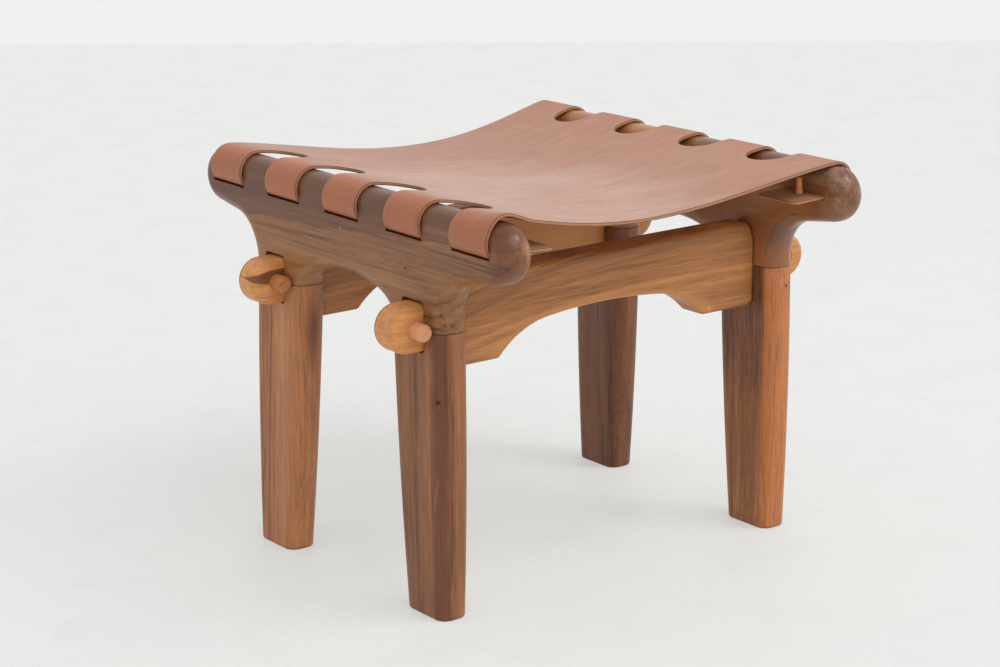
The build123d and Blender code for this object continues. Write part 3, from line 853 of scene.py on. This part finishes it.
def hanging_rule(plan, material):
    """Tree that hangs the flat hide: over the bars, in through the slots and out as flaps."""
    sizes = plan.sizes
    rule = Rule("hang_the_hide")
    span = rule.input("Half span", plan.half_span)
    top = rule.input("Seat height", sling_high.z - sizes.thickness / 2)
    width = rule.input("Half width", plan.half_width)
    front_sag = rule.input("Front sag", sizes.front_sag)
    back_sag = rule.input("Back sag", sizes.back_sag)
    front_skew = rule.input("Front skew", sizes.front_skew)
    back_skew = rule.input("Back skew", sizes.back_skew)
    front_fullness = rule.input("Front fullness", sizes.front_fullness)
    back_fullness = rule.input("Back fullness", sizes.back_fullness)
    edge_lift = rule.input("Edge lift", sizes.edge_lift)
    wrap = rule.input("Wrap radius", plan.wrap_radius)
    wrap_length = rule.input("Wrap length", plan.wrap_length)
    turn = rule.input("Turn radius", sizes.turn_radius)
    turn_angle = rule.input("Turn-in angle", sizes.turn)
    turn_length = rule.input("Turn length", plan.turn_length)
    tucked = rule.input("Flap length in the rail", plan.flap_length - FLAP_REACH)
    left_curl = rule.input("Left flap curl", sizes.left_curl)
    right_curl = rule.input("Right flap curl", sizes.right_curl)
    crease = rule.input("Crease depth", sizes.crease)
    u, v, _ = rule.add("GeometryNodeInputPosition").parts()
    side = u.math("SIGN")
    far = abs(u)
    along = (u / span).between(-1.0, 1.0)
    level = 1 - along * along

    def hang(skew, fullness):
        """Share of the sag along an edge whose lowest point lies to the right by the skew."""
        shifted = along - level * skew
        return (1 - shifted * shifted).at_least(0.0) ** fullness

    back = (v / width + 1) * 0.5
    front_drop = hang(front_skew * -1.0, front_fullness) * front_sag
    back_drop = hang(back_skew, back_fullness) * back_sag
    near_bar = abs(u + span - EDGE_LIFT_INSET).below(0.0, EDGE_LIFT_REACH)
    hump = edge_lift * near_bar * (v + width).below(0.0, EDGE_LIFT_REACH)
    drop = front_drop * (1 - back) + back_drop * back - hump
    angle = (far - span).between(0.0, wrap_length) / wrap
    inner = (far - span - wrap_length).between(0.0, turn_length) / turn + turn_angle
    flap = (far - span - wrap_length - turn_length).at_least(0.0)
    x = span * abs(along) + wrap * angle.sin() + turn * (inner.cos() - turn_angle.cos()) - flap
    z = top - drop - wrap * (1 - angle.cos()) - turn * (inner.sin() - turn_angle.sin())
    free = (flap - tucked).at_least(0.0) / FLAP_REACH
    z = z - free * free * (right_curl * (side + 1) + left_curl * (1 - side)) * 0.5
    folds = rule.noise(rule.vector(u * FOLDS_PER_METRE[0], v * FOLDS_PER_METRE[1], 0.0))
    z = z + (folds - 0.5) * 2 * crease * level.step(0.0, 0.35)
    flat = Sock(rule, rule.start.outputs["Geometry"])
    placed = rule.vector(x * side, v, z)
    hung = rule.add("GeometryNodeSetPosition", {}, {"Geometry": flat, "Position": placed})
    rule.finish(hung, material)
    return rule


def dress_node(name, material):
    """Give a CAD node its material."""
    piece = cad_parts[name]
    piece.data.materials.clear()
    piece.data.materials.append(material)


def link_object(name, data):
    thing = bpy.data.objects.new(name, data)
    bpy.context.scene.collection.objects.link(thing)
    return thing


# Ends of the stretcher boards, just clear of the legs, and the roundings of their solids.
SHOULDER_X = 191.0 * MM
SHOULDER_ROUND = 7.0 * MM
SHOULDER_CORNER = 11.0 * MM
SHOULDER_LEAN = 2.6 * MM
PROUD = 0.02 * MM


def square_shoulders(name, node, material):
    """Square end of a stretcher's board, at both ends, which fits tight to the leg."""
    low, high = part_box(node)
    middle_y = (low.y + high.y) / 2
    half_y = (high.y - low.y) / 2 + PROUD
    back_x = SHOULDER_X - 2 * SHOULDER_ROUND
    base = low.z + SHOULDER_ROUND / 2
    top = high.z - SHOULDER_CORNER
    bm = bmesh.new()
    for side in (-1, 1):
        levels = []
        for height, lean in ((base, 0.0), (top - 3 * SHOULDER_LEAN, 0.0), (top, SHOULDER_LEAN)):
            x = SHOULDER_X - lean
            y = half_y - lean
            ring = [(back_x, -y), (x, -y), (x, y), (back_x, y)]
            levels.append([bm.verts.new((side * x, middle_y + y, height)) for x, y in ring])
        for lower, upper in zip(levels, levels[1:]):
            for n in range(4):
                bm.faces.new((lower[n], lower[(n + 1) % 4], upper[(n + 1) % 4], upper[n]))
        bm.faces.new(levels[0])
        bm.faces.new(levels[-1])
    bmesh.ops.recalc_face_normals(bm, faces=bm.faces)
    mesh = bpy.data.meshes.new(name)
    bm.to_mesh(mesh)
    bm.free()
    mesh.materials.append(material)
    piece = link_object(name, mesh)
    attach(piece, "frame")


# Each of these functions bears the name of the node that it finishes.
RAILS_AND_LEGS = left_rail, right_rail, leg_front_left, leg_back_left, leg_front_right, leg_back_right
STRETCHERS = stretcher_front, stretcher_back


class STOOL_OT_wood(bpy.types.Operator):
    """Finish the wooden pieces"""
    bl_idname = "stool.wood"
    bl_label = "Wood"

    def execute(self, context):
        finish = context.scene.stool_wood
        for make in RAILS_AND_LEGS:
            dress_node(make.__name__, make(finish))
        for make in STRETCHERS:
            node = make.__name__
            wood = make(finish)
            dress_node(node, wood)
            square_shoulders(node + "_shoulders", node, wood)
        tusk = peg_wood("peg_wood", finish, "Y", finish.peg, finish.leg_light)
        strap = peg_wood("strap_peg_wood", finish, "Z", finish.tongue, finish.leg_middle, 3.0)
        dowel = peg_wood("dowel_wood", finish, "Z", finish.dowel, finish.leg_light, 5.0)
        brown = peg_wood("brown_peg_wood", finish, "Y", finish.leg_light, finish.leg_dark, 1.0)
        kinds = {"tusk_peg": tusk, "tusk_peg_back_left": brown, "strap_peg": strap, "dowel": dowel}
        for start, wood in kinds.items():
            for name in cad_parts:
                if name.startswith(start):
                    dress_node(name, wood)
        return {"FINISHED"}


def thicken(sheet, sizes):
    """Give the hung sheet its thickness and its eased, burnished edge."""
    wall = sheet.modifiers.new("wall", "SOLIDIFY")
    wall.thickness = sizes.thickness
    wall.offset = 0
    wall.use_even_offset = True
    wall.material_offset = 1
    wall.material_offset_rim = 2
    ease = sheet.modifiers.new("ease", "BEVEL")
    ease.width = 0.55 * MM
    ease.segments = 2
    ease.limit_method = "ANGLE"
    ease.angle_limit = math.radians(50)
    ease.material = 3


class STOOL_OT_leather(bpy.types.Operator):
    """Cut the hide and hang it between the rails"""
    bl_idname = "stool.leather"
    bl_label = "Leather"

    def execute(self, context):
        sizes = context.scene.stool_leather
        plan = HidePlan(sizes)
        flat = link_object("hide", plan.mesh())
        grain = grain_side(sizes)
        hanging_rule(plan, grain).apply_to(flat)
        thicken(flat, sizes)
        for material in (
                grain, flesh_side(sizes), edge_side("leather_edge", sizes.core_color, sizes.edge_color),
                edge_side("leather_edge_line", sizes.edge_color, sizes.edge_color)):
            flat.data.materials.append(material)
        graph = context.evaluated_depsgraph_get()
        mesh = bpy.data.meshes.new_from_object(
            flat.evaluated_get(graph), preserve_all_data_layers=True, depsgraph=graph)
        bpy.data.objects.remove(flat)
        mesh.name = "sling_leather"
        sling = link_object("sling_leather", mesh)
        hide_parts("leather_sling")
        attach(sling, "frame")
        2 * plan.half_length
        return {"FINISHED"}


CAMERA_AZIMUTH = math.radians(-37.7)
CAMERA_ELEVATION = math.radians(15.2)
CAMERA_ROLL = math.radians(-0.2)
CAMERA_LENS = 86.43
CAMERA_DISTANCE = 2.541
CAMERA_TARGET = (11.7 * MM, 59.9 * MM, 200.0 * MM)

ROOM_HALF = 14.0
WALL_HEIGHT = 6.0
WALL_DISTANCE = 3.55
SKY_PLACE = (0.7, -2.2, 2.6)
SKY_WIDTH = math.radians(50)
WINDOW_PLACE = (1.0, -1.0, 2.0)
WINDOW_TARGET = (0, 0, 0.35)
WINDOW_SIZE = 0.5


def make_camera():
    """Camera at the photograph's angle."""
    back = Vector((
        math.sin(CAMERA_AZIMUTH) * math.cos(CAMERA_ELEVATION),
        -math.cos(CAMERA_AZIMUTH) * math.cos(CAMERA_ELEVATION),
        math.sin(CAMERA_ELEVATION)))
    data = bpy.data.cameras.new("camera")
    data.lens = CAMERA_LENS
    camera = link_object("camera", data)
    camera.location = Vector(CAMERA_TARGET) + back * CAMERA_DISTANCE
    turn = back.to_track_quat("Z", "Y").to_matrix().to_4x4()
    roll = Matrix.Rotation(CAMERA_ROLL, 4, "Z")
    camera.matrix_world = Matrix.Translation(camera.location) @ turn @ roll
    bpy.context.scene.camera = camera


def place_lamp(kind, name, place, target):
    """Lamp that faces a point."""
    data = bpy.data.lights.new(name, kind)
    lamp = link_object(name, data)
    lamp.location = place
    lamp.rotation_euler = (Vector(place) - Vector(target)).to_track_quat("Z", "Y").to_euler()
    return data


def stage_plane(name, corners, material):
    mesh = bpy.data.meshes.new(name)
    mesh.from_pydata(corners, [], [tuple(range(len(corners)))])
    mesh.materials.append(material)
    plane = link_object(name, mesh)


def lay_floor(settings):
    """Painted floor with faint stains, grit and, in patches, small specks."""
    paint = Finish("floor_paint")
    place = paint.place()
    patches = paint.noise(place, 2, scale=0.004).step(0.42, 0.6)
    specks = paint.noise(place, 4, 0.6, 0.13).step(0.68, 0.73) * patches
    stains = paint.noise(place, 4, scale=0.012).step(0.45, 0.8)
    grit = paint.noise(place, 6, 0.75, 0.11).step(0.5, 0.75)
    color = paint.mix(stains * 0.06, settings.floor_color, settings.stain_color)
    color = paint.mix(grit * 0.12, color, settings.grit_color)
    color = paint.mix(specks * 0.4, color, settings.speck_color)
    paint.glow(color, settings.floor_glow)
    half = ROOM_HALF
    corners = [(-half, -half, 0), (half, -half, 0), (half, half, 0), (-half, half, 0)]
    stage_plane("floor", corners, paint.set(Base_Color=color, Roughness=0.55))


def raise_wall(settings):
    """Plain wall behind the stool, square to the camera."""
    paint = Finish("wall_paint")
    paint.glow(settings.wall_color, settings.wall_glow)
    ahead = Vector((-math.sin(CAMERA_AZIMUTH), math.cos(CAMERA_AZIMUTH), 0))
    half = Vector((ahead.y, -ahead.x, 0)) * ROOM_HALF
    foot = ahead * WALL_DISTANCE
    up = Vector((0, 0, WALL_HEIGHT))
    corners = [foot - half, foot + half, foot + half + up, foot - half + up]
    stage_plane("wall", corners, paint.set(Base_Color=settings.wall_color, Roughness=0.7))


def light_room(settings):
    """Even light from all round, a broad one from above the front and a small window."""
    world = bpy.data.worlds.new("room")
    world.use_nodes = True
    room = world.node_tree.nodes["Background"]
    room.inputs["Color"].default_value = settings.room_color
    room.inputs["Strength"].default_value = settings.room_strength
    bpy.context.scene.world = world
    sky = place_lamp("SUN", "sky", SKY_PLACE, (0, 0, 0))
    sky.energy = settings.sun_strength
    sky.angle = SKY_WIDTH
    window = place_lamp("AREA", "window", WINDOW_PLACE, WINDOW_TARGET)
    window.size = WINDOW_SIZE
    window.energy = settings.window_power


class STOOL_OT_stage(bpy.types.Operator):
    """Set up the floor, the wall, the lamps and the camera"""
    bl_idname = "stool.stage"
    bl_label = "Stage"

    def execute(self, context):
        settings = context.scene.stool_stage
        lay_floor(settings)
        raise_wall(settings)
        light_room(settings)
        make_camera()
        context.scene.view_settings.view_transform = "Standard"
        return {"FINISHED"}


class STOOL_PT_panel(bpy.types.Panel):
    """Lists the steps and their settings"""
    bl_idname = "STOOL_PT_panel"
    bl_label = "Sling stool"
    bl_space_type = "VIEW_3D"
    bl_region_type = "UI"
    bl_category = "Sling stool"

    def draw(self, context):
        for operator in OPERATORS:
            self.layout.operator(operator.bl_idname)
        for name in GROUPS:
            group = getattr(context.scene, name)
            box = self.layout.box()
            for key in group.__annotations__:
                box.prop(group, key)


GROUPS = {"stool_leather": LeatherSizes, "stool_wood": WoodFinish, "stool_stage": StageSettings}
OPERATORS = (STOOL_OT_wood, STOOL_OT_leather, STOOL_OT_stage)


def register():
    for name, group in GROUPS.items():
        bpy.utils.register_class(group)
        setattr(bpy.types.Scene, name, bpy.props.PointerProperty(type=group))
    for part in (*OPERATORS, STOOL_PT_panel):
        bpy.utils.register_class(part)


def unregister():
    for part in reversed((*OPERATORS, STOOL_PT_panel)):
        bpy.utils.unregister_class(part)
    for name, group in GROUPS.items():
        delattr(bpy.types.Scene, name)
        bpy.utils.unregister_class(group)


def main():
    """Build everything."""
    register()
    for operator in OPERATORS:
        group, name = operator.bl_idname.split(".")
        getattr(getattr(bpy.ops, group), name)()


if __name__ == "__main__":
    main()
